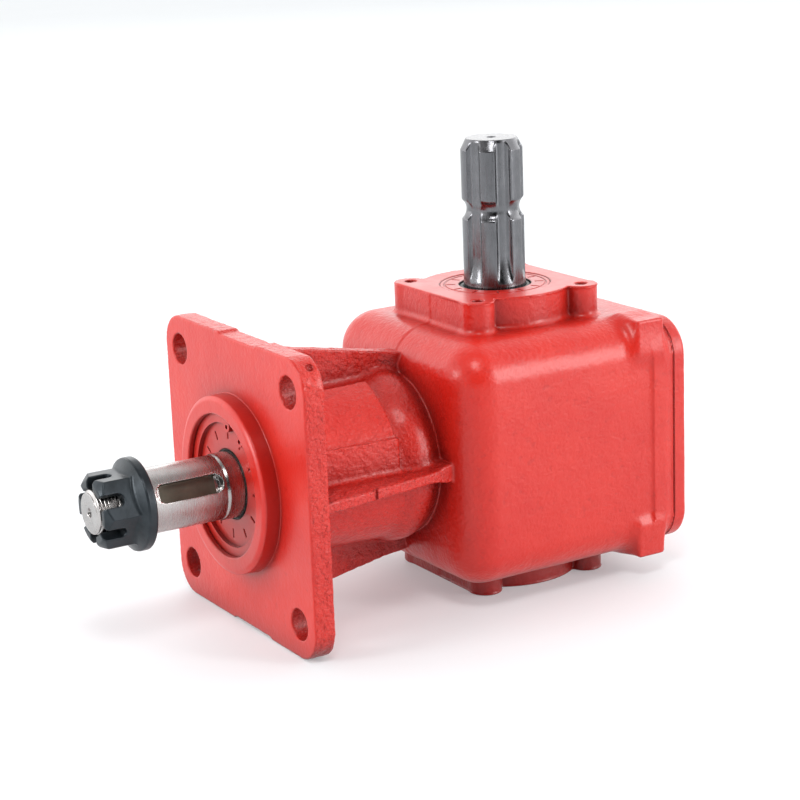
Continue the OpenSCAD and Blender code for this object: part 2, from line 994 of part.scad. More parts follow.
module input_seal_spring() {
    color(steel)
        input_axis(input_seal_z + seal_t - 5.5)
            garter_spring(input_journal_d);
}

module output_seal() {
    color(paint)
        along_x(seal_face_x + seal_t)
            mirror([0, 0, 1])
                lip_seal(seal_bore_d, seal_journal_d, seal_t);
}

module output_seal_spring() {
    color(steel)
        along_x(seal_face_x + 5.5)
            garter_spring(seal_journal_d);
}

// ---- Circlips and shims ----

// Ring that springs outwards into a bore's groove, from z = 0 up; band is what shows of it
module bore_circlip(bore_d, t, band = 3) {
    outer = bore_d / 2 + 1.4;
    inner = bore_d / 2 - band;
    lug_r = 3.2;
    lug_at = bore_d / 2 - band - 0.6;
    half_gap = 9;
    difference() {
        union() {
            difference() {
                cylinder(r = outer, h = t);
                translate([0, 0, -1])
                    cylinder(r = inner, h = t + 2);
                rotate([0, 0, -half_gap])
                    wedge(2 * half_gap, 2 * outer, t);
            }
            for (s = [-1, 1])
                rotate([0, 0, s * (half_gap + 4)])
                    translate([lug_at, 0, 0])
                        cylinder(r = lug_r, h = t);
        }
        for (s = [-1, 1])
            rotate([0, 0, s * (half_gap + 4)])
                translate([lug_at - 0.4, 0, -1])
                    cylinder(d = 2.5, h = t + 2);
    }
}

// Thin slice of angle a from +X, for cutting a ring open
module wedge(a, reach, t) {
    translate([0, 0, -1])
        linear_extrude(t + 2)
            polygon([[0, 0], [reach, 0], polar(reach, a)]);
}

module upper_circlip() {
    color(black_steel)
        input_axis(upper_circlip_z)
            bore_circlip(input_bore_d, circlip_t);
}

module lower_circlip() {
    color(black_steel)
        input_axis(lower_circlip_z)
            bore_circlip(input_bore_d, circlip_t);
}

module seal_circlip() {
    color(paint)
        along_x(seal_face_x - output_circlip_t)
            rotate([0, 0, 200])
                bore_circlip(seal_bore_d, output_circlip_t, 5);
}

module front_circlip() {
    color(black_steel)
        along_x(front_circlip_x)
            bore_circlip(output_bore_d, output_circlip_t);
}

module rear_circlip() {
    color(black_steel)
        along_x(rear_circlip_x)
            bore_circlip(output_bore_d, output_circlip_t);
}

module pinion_circlip() {
    inner = pinion_seat_d / 2 - 0.65;
    outer = pinion_seat_d / 2 + 2.6;
    color(black_steel)
        along_x(pinion_toe_x)
            difference() {
                cylinder(r = outer, h = pinion_circlip_t);
                translate([0, 0, -1])
                    cylinder(r = inner, h = pinion_circlip_t + 2);
                rotate([0, 0, -8])
                    wedge(16, 2 * outer, pinion_circlip_t);
            }
}

module upper_shim() {
    color(steel)
        input_axis(upper_circlip_z - shim_t)
            ring(input_bore_d - 0.2, input_bore_d - 8, shim_t);
}

// ---- Taper roller bearings ----
// Local frame: z = 0 at the outward face, where the rollers' small ends are

tilt = 12;
roller_count = 18;
function roller_r(bore, od) = (od - bore) / 2 * 0.265;
function mean_r(bore, od) = (bore + od) / 4;
function slant(bore, od) = mean_r(bore, od) / sin(tilt);
function taper(bore, od) = atan(roller_r(bore, od) / slant(bore, od));

// Radius at height z of the cone's race (side -1), the roller axis (0) or the cup's race (1)
function race_r(bore, od, t, side, z) =
    let (a = tilt + side * taper(bore, od))
    let (apex = slant(bore, od) * cos(tilt))
    (apex + z - t / 2) * tan(a);

module bearing_cup(bore, od, t, cup_t) {
    color(steel)
        rotate_extrude($fn = 96)
            polygon([
                [od / 2 - seat_gap, 0],
                [od / 2 - seat_gap, cup_t],
                [race_r(bore, od, t, 1, cup_t), cup_t],
                [race_r(bore, od, t, 1, 0), 0]
            ]);
}

module bearing_cone(bore, od, t) {
    low_rib = 2;
    high_rib = t - 3.2;
    color(steel)
        rotate_extrude($fn = 96)
            polygon([
                [bore / 2 + seat_gap, 0],
                [race_r(bore, od, t, -1, 0) + 0.9, 0],
                [race_r(bore, od, t, -1, low_rib) + 0.9, low_rib],
                [race_r(bore, od, t, -1, low_rib), low_rib],
                [race_r(bore, od, t, -1, high_rib), high_rib],
                [race_r(bore, od, t, -1, high_rib) + 1.8, high_rib - 0.2],
                [race_r(bore, od, t, -1, t) + 1.4, t],
                [bore / 2 + seat_gap, t]
            ]);
}

// One roller lying between the races, grown by extra on every side
module roller(bore, od, t, extra) {
    half_l = (t - 7.4) / 2 + extra;
    low = -half_l - 0.5;
    high = half_l - 0.5;
    mid_r = roller_r(bore, od) - running_gap + extra;
    slope = tan(taper(bore, od));
    translate([mean_r(bore, od), 0, t / 2])
        rotate([0, tilt, 0])
            translate([0, 0, low])
                cylinder(r1 = mid_r + low * slope, r2 = mid_r + high * slope, h = high - low, $fn = 24);
}

module bearing_rollers(bore, od, t) {
    color(steel)
        for (i = [0:roller_count - 1])
            rotate([0, 0, i * 360 / roller_count])
                roller(bore, od, t, 0);
}

module bearing_cage(bore, od, t) {
    cage_t = 1;
    z0 = 1.2;
    z1 = t - 1.2;
    color(brass)
        difference() {
            rotate_extrude($fn = 96)
                polygon([
                    [race_r(bore, od, t, 0, z0) + 0.3, z0],
                    [race_r(bore, od, t, 0, z1) + 0.3, z1],
                    [race_r(bore, od, t, 0, z1) + 0.3 + cage_t, z1],
                    [race_r(bore, od, t, 0, z0) + 0.3 + cage_t, z0]
                ]);
            for (i = [0:roller_count - 1])
                rotate([0, 0, i * 360 / roller_count])
                    roller(bore, od, t, 0.25);
        }
}

// Places a bearing with its outward face up, down, to the flange or to the box
module upper_place() {
    input_axis(upper_bearing_z)
        mirror([0, 0, 1])
            children();
}

module lower_place() {
    input_axis(lower_bearing_z)
        children();
}

module front_place() {
    along_x(front_bearing_x)
        children();
}

module rear_place() {
    along_x(rear_bearing_x)
        mirror([0, 0, 1])
            children();
}

module input_cup() { bearing_cup(input_journal_d, input_bore_d, input_bearing_t, input_cup_t); }
module input_cone() { bearing_cone(input_journal_d, input_bore_d, input_bearing_t); }
module input_rollers() { bearing_rollers(input_journal_d, input_bore_d, input_bearing_t); }
module input_cage() { bearing_cage(input_journal_d, input_bore_d, input_bearing_t); }
module output_cup() { bearing_cup(output_journal_d, output_bore_d, output_bearing_t, output_cup_t); }
module output_cone() { bearing_cone(output_journal_d, output_bore_d, output_bearing_t); }
module output_rollers() { bearing_rollers(output_journal_d, output_bore_d, output_bearing_t); }
module output_cage() { bearing_cage(output_journal_d, output_bore_d, output_bearing_t); }

housing();
side_cover();
cover_gasket();
cover_screws();
bottom_cap();
breather_plug();
level_plug();
drain_plug();
plug_washers();
input_shaft();
crown_gear();
crown_key();
gear_spacer();
output_shaft();
pinion_gear();
pinion_key();
pinion_spacer();
pinion_circlip();
castle_nut();
input_seal();
input_seal_spring();
output_seal();
output_seal_spring();
seal_circlip();
upper_place() input_cup();  // upper_bearing_cup
upper_place() input_cone();  // upper_bearing_cone
upper_place() input_rollers();  // upper_bearing_rollers
upper_place() input_cage();  // upper_bearing_cage
lower_place() input_cup();  // lower_bearing_cup
lower_place() input_cone();  // lower_bearing_cone
lower_place() input_rollers();  // lower_bearing_rollers
lower_place() input_cage();  // lower_bearing_cage
front_place() output_cup();  // front_bearing_cup
front_place() output_cone();  // front_bearing_cone
front_place() output_rollers();  // front_bearing_rollers
front_place() output_cage();  // front_bearing_cage
rear_place() output_cup();  // rear_bearing_cup
rear_place() output_cone();  // rear_bearing_cone
rear_place() output_rollers();  // rear_bearing_rollers
rear_place() output_cage();  // rear_bearing_cage
upper_circlip();
lower_circlip();
front_circlip();
rear_circlip();
upper_shim();
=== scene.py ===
import json
import math

import bpy
import numpy as np
from mathutils import Matrix, Vector


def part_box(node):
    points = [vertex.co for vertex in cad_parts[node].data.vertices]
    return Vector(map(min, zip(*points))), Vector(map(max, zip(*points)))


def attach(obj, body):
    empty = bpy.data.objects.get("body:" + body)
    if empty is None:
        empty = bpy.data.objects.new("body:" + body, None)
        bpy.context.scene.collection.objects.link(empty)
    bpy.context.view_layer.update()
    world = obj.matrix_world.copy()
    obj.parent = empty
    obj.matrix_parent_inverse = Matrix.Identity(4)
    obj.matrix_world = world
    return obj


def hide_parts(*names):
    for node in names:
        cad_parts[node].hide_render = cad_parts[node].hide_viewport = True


# Right angle bevel gearbox: looks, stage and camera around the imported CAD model.

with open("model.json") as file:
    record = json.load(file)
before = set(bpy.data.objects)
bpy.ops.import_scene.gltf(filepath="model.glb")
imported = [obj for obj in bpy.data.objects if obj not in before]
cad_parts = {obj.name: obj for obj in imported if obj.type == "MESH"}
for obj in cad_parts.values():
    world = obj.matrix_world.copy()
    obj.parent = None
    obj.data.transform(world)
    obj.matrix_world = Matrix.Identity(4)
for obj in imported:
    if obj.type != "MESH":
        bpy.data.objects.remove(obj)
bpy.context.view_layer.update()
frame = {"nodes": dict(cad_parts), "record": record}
NODES = frame["nodes"]

MM = 0.001

# ---- Driving sizes in millimetres, from the frame where a node's box gives them ----


def box_mm(node):
    """Lowest and highest corner of a CAD node, in millimetres."""
    low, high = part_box(node)
    return np.array(low) / MM, np.array(high) / MM


HOUSING_LOW, HOUSING_HIGH = box_mm("housing")
COVER_LOW, COVER_HIGH = box_mm("side_cover")
CAP_LOW, CAP_HIGH = box_mm("bottom_cap")
INPUT_LOW, INPUT_HIGH = box_mm("input_shaft")
OUTPUT_LOW, OUTPUT_HIGH = box_mm("output_shaft")
NUT_LOW, NUT_HIGH = box_mm("castle_nut")
INPUT_SEAL_HIGH = box_mm("input_seal")[1]
OUTPUT_SEAL_LOW, OUTPUT_SEAL_HIGH = box_mm("output_seal")

# Flange and pilot ring
FLOOR_Z = HOUSING_LOW[2]
FLANGE_HALF_Y = HOUSING_HIGH[1]
FLANGE_HALF_Z = -FLOOR_Z
FLANGE_T = 12
FLANGE_CORNER = 17
FLANGE_BOLT = 62
FLANGE_HOLE_R = 8.5
FLANGE_CHIP = (7.5, -73.2, 76.4)  # centre of the chipped corner
PILOT_R = 48.5
PILOT_X = HOUSING_LOW[0]
# Gear box, with the flange that its cover bolts to
AXIS_X = (INPUT_LOW[0] + INPUT_HIGH[0]) / 2
TOP_Z = HOUSING_HIGH[2]
JOINT_X = HOUSING_HIGH[0]
BOX_BACK_X = AXIS_X - 69
BOX_HALF_Y = COVER_HIGH[1]
BOX_HALF_Z = 68.75
BOX_ROUND = 22
NEAR_CROWN, FAR_CROWN = 2.0, 0.3
JOINT_FLANGE_T = 5.5
STEP_X = JOINT_X - JOINT_FLANGE_T
EAR_L = 20
WALL = 8
SCREW_BOSS_R, SCREW_BOSS_L = 9, 24
SCREW_HOLE_R, SCREW_HOLE_L = 4, 22
# Neck and its four fins
NECK_R = 43.5
FIN_REACH, FIN_REACH_END = 73, 57.5
FIN_HALF_T = 3.4
NECK_ROOT_X = 4  # the fins and the raised panel start here, inside the flange
NICK_X = 47  # middle of the nick in the near fin's edge
# Pads and bores
PAD_R = 43.4
PAD_BOLT = 34.4
PAD_HOLE_R = 3.4
LUG_R = 9.5
INPUT_BORE_R = 31
SEAL_FACE_X = OUTPUT_SEAL_LOW[0]
SEAL_END_X = OUTPUT_SEAL_HIGH[0] + 0.3
SEAL_BORE_R = 39
CIRCLIP_T = 2.5
OUTPUT_BORE_R = 34
BEARING_SEAT_R = 40
# Side cover; its back face stands 0.45 into the gasket, which is painted over and doesn't show
COVER_HALF_Z = COVER_HIGH[2]
COVER_ROUND = 20
COVER_BACK_X = COVER_LOW[0] - 0.45
COVER_FACE_X = COVER_LOW[0] + 7.5
COVER_HOLE_R, SINK_R = 4.6, 8.4
# Centres of the cover's screws and plugs, as (y, z)
SCREWS = [
    (sy * (62 if sz == 0 else 56), sz * (54 if sy == 0 else 50))
    for sy in (-1, 0, 1)
    for sz in (-1, 0, 1)
    if sy or sz
]
PLUGS = [(0, 30), (-36, 0), (0, -30)]
PLUG_R = 8.02
PLUG_BOSS_R = 15
# Shafts
SHAFT_R = 17.5
SEAL_JOURNAL_R = 18
KEYED_X = -58
KEYWAY_X = (-49, -21)
KEYWAY_HALF = 5
KEYWAY_FLOOR = 12.5
KEYWAY_TILT = 25
THREAD_R = 12
THREAD_X = -57
PIN_X = -75.5
PIN_R = 2.5
PIN_TILT = 30

# ---- Distance functions, negative inside, all in millimetres ----


def hypot2(a, b):
    return np.sqrt(a * a + b * b)


def round_corner(qu, qv, r):
    """Corner between a face at qu = r and a face at qv = r, with its edge rounded by r."""
    return hypot2(np.maximum(qu, 0), np.maximum(qv, 0)) + np.minimum(np.maximum(qu, qv), 0) - r


def round_box(q, r):
    """Corner of three faces, each at q = r, with its edges rounded by r."""
    outside = np.sqrt(sum(np.maximum(c, 0) ** 2 for c in q))
    return outside + np.minimum(np.maximum(np.maximum(q[0], q[1]), q[2]), 0) - r


def rect(u, v, half_u, half_v, r):
    """Rectangle with round corners."""
    return round_corner(np.abs(u) - (half_u - r), np.abs(v) - (half_v - r), r)


def slab(outline, w, low, high, r):
    """An outline given thickness from low to high along w, with its edges rounded by r."""
    return round_corner(outline + r, np.abs(w - (low + high) / 2) - (high - low) / 2 + r, r)


def join(a, b, k):
    """Union with a fillet about k wide."""
    h = np.maximum(k - np.abs(a - b), 0) / k
    return np.minimum(a, b) - h * h * k / 4


def cut(a, b, k):
    """a with b taken away, with an edge break about k wide."""
    return -join(-a, b, k)


def both(a, b, k):
    """What a and b share, with its edges eased by k."""
    return -join(-a, -b, k)


def ramp(t):
    """Smooth step from 0 to 1."""
    t = np.clip(t, 0, 1)
    return t * t * (3 - 2 * t)


def cone(r, w, r0, w0, r1, w1):
    """Distance outside the line from (r0, w0) to (r1, w1), turned about the w axis."""
    dr, dw = r1 - r0, w1 - w0
    return ((r - r0) * dw - (w - w0) * dr) / math.hypot(dr, dw)


def fold(angle, count, start=0.0):
    """Angle from the nearest of count directions spread evenly from start, in radians."""
    pitch = 2 * math.pi / count
    return (angle - start + pitch / 2) % pitch - pitch / 2


def tilted(y, z, degrees):
    """Distance out along a direction above the near side, and across it, about the X axis."""
    c, s = math.cos(math.radians(degrees)), math.sin(math.radians(degrees))
    return -y * c + z * s, y * s + z * c


# ---- Cast surface noise ----

LATTICE = 32
lattice = np.random.default_rng(7).uniform(-1, 1, (LATTICE,) * 3).astype(np.float32)


def noise(x, y, z, size):
    """Smooth random lumps of a given size, from -1 to 1."""
    out = np.zeros_like(x)
    parts = []
    for c in (x, y, z):
        c = c / size + 100
        i = np.floor(c).astype(np.int32)
        f = c - i
        parts.append((i % LATTICE, (i + 1) % LATTICE, f * f * (3 - 2 * f)))
    for corner in range(8):
        weight, index = 1.0, []
        for axis in range(3):
            i0, i1, f = parts[axis]
            high = corner >> axis & 1
            weight = weight * (f if high else 1 - f)
            index.append(i1 if high else i0)
        out = out + weight * lattice[index[0], index[1], index[2]]
    return out


# ---- Housing ----


def neck_radius(x):
    """Slowly widening neck that swells into a bell and draws in again at the box."""
    swell = 3.2 * ramp((x - 74) / 13) - 3.5 * ramp((x - 90) / 12)
    return NECK_R + 2.3 * np.clip((x - FLANGE_T) / 62, 0, 1) + swell


def flange_distance(x, y, z):
    """Square flange whose two half-moulds meet a little out of line at the top and bottom."""
    dip = 1.1 * ramp((y + 30) / 3) * ramp((14 - y) / 3)
    outline = rect(y, np.sign(z) * (np.abs(z) + dip), FLANGE_HALF_Y, FLANGE_HALF_Z, FLANGE_CORNER)
    return slab(outline, x, 0, FLANGE_T, 0.9)


def gusset_distance(x, reach, across):
    """A pair of tapered fins, one on each side of the axis, thicker where they meet the box."""
    slope = (FIN_REACH_END - FIN_REACH) / (BOX_BACK_X - FLANGE_T)
    edge = (reach - (FIN_REACH + slope * (x - FLANGE_T))) / math.hypot(1, slope)
    outline = np.maximum(np.maximum(edge, NECK_ROOT_X - x), x - BOX_BACK_X - WALL)
    half = FIN_HALF_T + 2.2 * ramp((x - BOX_BACK_X + 12) / 12)
    r = 1.4
    return round_corner(outline + r, across - half + r, r)


def panel_distance(x, y, z):
    """Raised panel, flatter than the neck, and the flat strip under it, on the near side."""
    out, side = tilted(y, z, 49)
    end, reach, bow_r, half_w = 73, 47.5, 62, 19.5
    strip_z, strip_half, strip_reach = 12.0, 10.5, 45.4
    rise = 0.035 * np.clip(x - FLANGE_T, 0, 60)
    face = hypot2(out - reach - rise + bow_r, side) - bow_r
    panel = np.maximum(np.maximum(face, np.abs(side) - half_w), x - end)
    strip = np.maximum(np.abs(z - strip_z) - strip_half, -y - strip_reach - rise)
    strip = np.maximum(np.maximum(strip, x - end - 1), y + 20)
    return np.maximum(np.minimum(np.maximum(panel, 30 - out), strip), NECK_ROOT_X - x)


def pad_outline(x, y):
    """Round pad with a lug round each of its four holes, the same above and below."""
    u = x - AXIS_X
    outline = np.minimum(hypot2(u, y) - PAD_R, rect(u, y, PAD_R, PAD_BOLT + 1, 2))
    lugs = hypot2(np.abs(u) - PAD_BOLT, np.abs(y) - PAD_BOLT) - LUG_R
    return join(outline, lugs, 2.0)


def box_distance(x, y, z):
    """Gear box with its ears, and the smaller flange that the cover bolts to."""
    draft = 0.003 * np.abs(y)
    crown = np.where(y < 0, NEAR_CROWN, FAR_CROWN) * (np.abs(z) / BOX_HALF_Z) ** 3
    length = JOINT_X + 40 - BOX_BACK_X
    q = [
        np.abs(x - BOX_BACK_X - length / 2) + draft - length / 2 + BOX_ROUND,
        np.abs(y) + crown - BOX_HALF_Y + BOX_ROUND,
        np.abs(z) + draft - BOX_HALF_Z + BOX_ROUND,
    ]
    body = round_box(q, BOX_ROUND)
    corner = rect(np.abs(y) - BOX_HALF_Y + 10, np.abs(z) - BOX_HALF_Z + 10, 10, 10, 1.5)
    ears = slab(corner, x, STEP_X - EAR_L, STEP_X + 6, 2.5)
    body = both(join(body, ears, 9), x - STEP_X, 3)
    joint = np.maximum(rect(y, z, BOX_HALF_Y, COVER_HALF_Z, COVER_ROUND), STEP_X - 8 - x)
    return both(join(body, joint, 4.5), x - JOINT_X, 0.15)


def cavity_distance(x, y, z):
    """The hollow inside the box, open at the joint."""
    r = 12
    q = [
        BOX_BACK_X + WALL - x + r,
        np.abs(y) - BOX_HALF_Y + WALL + r,
        np.abs(z) - COVER_HALF_Z + WALL + r,
    ]
    return round_box(q, r)


def housing_outside(x, y, z):
    """The casting's outer skin."""
    body = box_distance(x, y, z)
    radius = hypot2(y, z)
    neck = np.maximum(radius - neck_radius(x), np.maximum(2 - x, x - BOX_BACK_X - WALL))
    neck = join(neck, panel_distance(x, y, z), 0.4)
    near, tall = np.abs(y), np.abs(z)
    fins = np.minimum(gusset_distance(x, tall, near), gusset_distance(x, near, tall))
    nick = np.maximum(np.abs(x - NICK_X) - 0.5, np.maximum(y + 65.5, np.abs(z) - 4))
    neck = join(neck, cut(fins, nick, 0.5), 3.5)
    body = join(body, neck, 0.9)
    body = join(body, flange_distance(x, y, z), 3.5)
    pads = pad_outline(x, y)
    top = slab(pads, z, BOX_HALF_Z - WALL, TOP_Z, 0.7)
    bottom = slab(pads, z, FLOOR_Z, WALL - BOX_HALF_Z, 1.2)
    body = join(body, np.minimum(top, bottom), 3.5)
    return body + cast_relief(x, y, z)


def housing_distance(x, y, z):
    """The casting with its pilot ring, hollow and bores."""
    radius = hypot2(y, z)
    input_r = hypot2(x - AXIS_X, y)
    outside = housing_outside(x, y, z)
    cx, cy, cz = FLANGE_CHIP
    chip = np.sqrt((x - cx) ** 2 + (y - cy) ** 2 + (z - cz) ** 2) - 2.3
    body = cut(outside, chip, 0.8)
    bevel = cone(radius, x, PILOT_R - 2.2, PILOT_X, PILOT_R, PILOT_X + 1.4)
    body = np.minimum(body, both(slab(radius - PILOT_R, x, PILOT_X, 6, 0.2), bevel, 0.5))
    # Hollow box, with the bearing seats and screw bosses standing in it
    body = cut(body, cavity_distance(x, y, z), 1)
    inner = np.maximum(input_r - BEARING_SEAT_R, 52 - np.abs(z + 0.5))
    for sy, sz in SCREWS:
        boss = np.maximum(hypot2(y - sy, z - sz) - SCREW_BOSS_R, JOINT_X - SCREW_BOSS_L - x)
        inner = np.minimum(inner, boss)
    body = np.minimum(body, np.maximum(inner, np.maximum(outside + 1.5, x - JOINT_X)))
    # Bores, grooves and holes
    bores = np.minimum(input_r - INPUT_BORE_R, np.maximum(radius - SEAL_BORE_R, x - SEAL_END_X))
    bores = np.minimum(bores, np.maximum(radius - OUTPUT_BORE_R, x - BOX_BACK_X - WALL - 2))
    groove_x = SEAL_FACE_X - CIRCLIP_T / 2
    groove = np.maximum(radius - SEAL_BORE_R - 1.5, np.abs(x - groove_x) - CIRCLIP_T / 2)
    bores = np.minimum(bores, groove)
    holes = hypot2(np.abs(y) - FLANGE_BOLT, np.abs(z) - FLANGE_BOLT) - FLANGE_HOLE_R
    bores = np.minimum(bores, np.maximum(holes, x - FLANGE_T - 3))
    pad_holes = hypot2(np.abs(x - AXIS_X) - PAD_BOLT, np.abs(y) - PAD_BOLT) - PAD_HOLE_R
    pad_holes = np.maximum(pad_holes, np.minimum(TOP_Z - 14 - z, z - FLOOR_Z - 12))
    bores = np.minimum(bores, pad_holes)
    for sy, sz in SCREWS:
        hole = np.maximum(hypot2(y - sy, z - sz) - SCREW_HOLE_R, JOINT_X - SCREW_HOLE_L - x)
        bores = np.minimum(bores, hole)
    return cut(body, bores, 0.8)


def cast_mask(x, y, z):
    """1 on surfaces left as cast, 0 on machined ones."""
    flange_face = ramp((x - 0.6) / 1.2)
    pad_faces = ramp((TOP_Z - 0.5 - z) / 1.0) * ramp((z - FLOOR_Z - 0.5) / 1.0)
    return flange_face * pad_faces * ramp((JOINT_X - 0.3 - x) / 1.0)


def cast_relief(x, y, z):
    """Lumps of the cast skin, strongest on the fins and flange edges, and the moulds' misfit."""
    flange_edge = ramp((FLANGE_T + 2 - x) / 3)
    fin = ramp((hypot2(y, z) - 49) / 3) * ramp((BOX_BACK_X - 2 - x) / 4)
    strong = np.maximum(flange_edge, fin)
    neck = ramp((BOX_BACK_X + 12 - x) / 14)
    fine = 0.02 + 0.05 * neck + 0.10 * strong
    coarse = 0.03 + 0.05 * neck + 0.10 * strong
    lumps = fine * noise(z, x, y, 2.8) + coarse * noise(x, y, z, 5.5)
    broad = 0.16 * (1 - strong) * noise(y, z, x, 24)
    misfit = 0.45 * ramp((0.9 - y) / 1.6) * ramp((x - FLANGE_T - 1) / 3)
    return cast_mask(x, y, z) * (lumps + broad + misfit)


# ---- Side cover and bottom cap ----


def cover_distance(x, y, z):
    """Cast plate with three plug bosses and countersunk screw holes."""
    outline = rect(y, z, BOX_HALF_Y, COVER_HALF_Z, COVER_ROUND)
    body = both(slab(outline, x, COVER_LOW[0] - 6, COVER_FACE_X, 1.4), COVER_BACK_X - x, 0.15)
    rough = 0.06 * noise(x, y, z, 3.1) + 0.12 * noise(z, y, x, 13)
    body = body + rough * ramp((x - COVER_LOW[0] - 0.3) / 1.0)
    bosses = np.full_like(x, 1e3)
    holes = np.full_like(x, 1e3)
    for py, pz in PLUGS:
        r = hypot2(y - py, z - pz)
        bosses = np.minimum(bosses, slab(r - PLUG_BOSS_R, x, COVER_LOW[0], COVER_HIGH[0], 1.0))
        holes = np.minimum(holes, r - PLUG_R)
    for sy, sz in SCREWS:
        r = hypot2(y - sy, z - sz)
        sink = cone(r, x, COVER_HOLE_R, COVER_FACE_X - 4.4, SINK_R, COVER_FACE_X)
        sink = np.maximum(sink, COVER_FACE_X - 5 - x)
        holes = np.minimum(holes, np.minimum(r - COVER_HOLE_R, sink))
    return cut(join(body, bosses, 3), holes, 0.5)


def cap_distance(x, y, z):
    """Pressed cap: a shallow dish with a rolled edge."""
    r = hypot2(x - AXIS_X, y)
    dish_r, hollow_r = 25, 28.5
    body = slab(r - INPUT_BORE_R, z, CAP_LOW[2], CAP_HIGH[2], 1.3)
    dish = slab(r - dish_r, z, CAP_LOW[2] - 5, CAP_LOW[2] + 0.8, 0.5)
    hollow = slab(r - hollow_r, z, CAP_LOW[2] + 2.4, CAP_HIGH[2] + 5, 1.0)
    return cut(cut(body, dish, 1.2), hollow, 0.6)


# ---- Shafts and nut ----


def input_shaft_distance(x, y, z):
    """Stepped shaft with a six-tooth power take-off end."""
    r = hypot2(x - AXIS_X, y)
    angle = np.arctan2(y, x - AXIS_X)
    top = INPUT_HIGH[2]
    major, minor, half_tooth = 17.45, 14.7, 4.3
    body = slab(r - SHAFT_R, z, INPUT_LOW[2], TOP_Z + 0.8, 0.6)
    # Seat of the crown gear, and the collar above it
    body = np.minimum(body, slab(r - 20, z, -50, -21, 0.4))
    body = np.minimum(body, slab(r - 22, z, -22, 54, 0.4))
    end = np.maximum(slab(r - major, z, TOP_Z - 3, top, 0.3), cone(r, z, major, top - 6, 14.25, top))
    body = np.minimum(body, end)
    full_depth, hob_r = TOP_Z + 18, 45
    run_out = np.clip(full_depth - z, 0, hob_r - 0.1)
    floor = minor + hob_r - np.sqrt(hob_r**2 - run_out**2)
    lateral = np.abs(r * np.sin(fold(angle, 6, math.radians(47.5))))
    valleys = both(half_tooth - lateral, floor - r, 1.6)
    body = cut(body, np.maximum(valleys, TOP_Z + 1 - z), 0.5)
    groove_r = 6.5
    groove = hypot2(r - (minor + 0.1 + groove_r), z - (top - 39)) - groove_r
    body = cut(body, groove, 0.6)
    body = cut(body, np.maximum(cone(r, z, 0.5, top - 6, 2.6, top), top - 6 - z), 0.4)
    crown_key = np.maximum(np.abs(y) - 6, np.maximum(AXIS_X + 15 - x, np.abs(z + 36) - 13))
    return cut(body, crown_key, 0.3)


def output_shaft_distance(x, y, z):
    """Stepped shaft with a long round-ended keyway."""
    r = hypot2(y, z)
    body = slab(r - SHAFT_R, x, KEYED_X, 0, 0.8)
    shoulder = cone(r, x, SHAFT_R - 0.3, -14.5, SEAL_JOURNAL_R, -13.2)
    body = np.minimum(body, both(slab(r - SEAL_JOURNAL_R, x, -14.5, 20, 0.2), shoulder, 0.3))
    # Seats of the two bearings, the collar between them and the seat of the pinion
    body = np.minimum(body, slab(r - 20, x, 11.5, 102, 0.8))
    body = np.minimum(body, slab(r - 24, x, 33.5, 80, 0.5))
    body = np.minimum(body, slab(r - 15, x, 90, OUTPUT_HIGH[0], 0.9))
    out, across = tilted(y, z, KEYWAY_TILT)
    slot = hypot2(x - np.clip(x, *KEYWAY_X), across) - KEYWAY_HALF
    body = cut(body, np.maximum(slot, KEYWAY_FLOOR - out), 0.5)
    pinion_key = np.maximum(np.abs(y) - 4, np.maximum(11 - z, np.abs(x - 118) - 14))
    circlip_groove = np.maximum(14.3 - r, np.abs(x - 138.05) - 1.05)
    return cut(body, np.minimum(pinion_key, circlip_groove), 0.3)


def thread_distance(x, y, z):
    """Threaded end, with the split pin's hole and a centre hole."""
    r = hypot2(y, z)
    pitch, depth = 2.0, 1.0
    phase = 2 * math.pi * x / pitch - np.arctan2(y, z)
    ease = ramp((x - OUTPUT_LOW[0]) / 1.5)
    crest = THREAD_R - depth * (0.5 - 0.5 * np.cos(phase))
    # Scaled down, because the thread's flanks are steep
    body = 0.6 * (r - crest + 1.1 * (1 - ease))
    body = both(body, np.maximum(OUTPUT_LOW[0] - x, x - THREAD_X), 0.4)
    _, across = tilted(y, z, PIN_TILT)
    body = cut(body, hypot2(x - PIN_X, across) - PIN_R, 0.4)
    centre = np.maximum(cone(r, -x, 0.6, -OUTPUT_LOW[0] - 5, 2.6, -OUTPUT_LOW[0]), x + 80)
    return cut(body, centre, 0.4)


def nut_distance(x, y, z):
    """Collared hexagon nut with six slots across its flats."""
    s = NUT_HIGH[0] - x
    length = NUT_HIGH[0] - NUT_LOW[0]
    r = hypot2(y, z)
    around = fold(np.arctan2(y, z), 6)
    collar_r, flat, mouth_r = NUT_HIGH[1], 18, 12.02
    slot_r, slot_floor = 3.5, 17.7
    body = slab(r - collar_r, s, 0, 5, 0.9)
    taper = np.maximum(cone(r, s, collar_r, 5, 19.2, 8.2), r - collar_r + 0.3)
    body = np.minimum(body, np.maximum(taper, np.maximum(s - 9, 3 - s)))
    hexagon = slab(r * np.cos(around) - flat, s, 1, length, 0.5)
    hexagon = both(hexagon, cone(r, s, 21.2, length - 4, 16.7, length), 0.5)
    body = join(body, hexagon, 1.5)
    u, v = r * np.cos(around), r * np.sin(around)
    slots = np.maximum(hypot2(v, np.minimum(s - slot_floor, 0)) - slot_r, 5 - u)
    body = cut(body, slots, 0.6)
    mouth = cone(r, s, mouth_r, length - 1.2, 13.2, length)
    return cut(body, np.minimum(r - mouth_r, mouth), 0.3)


# ---- Seals ----


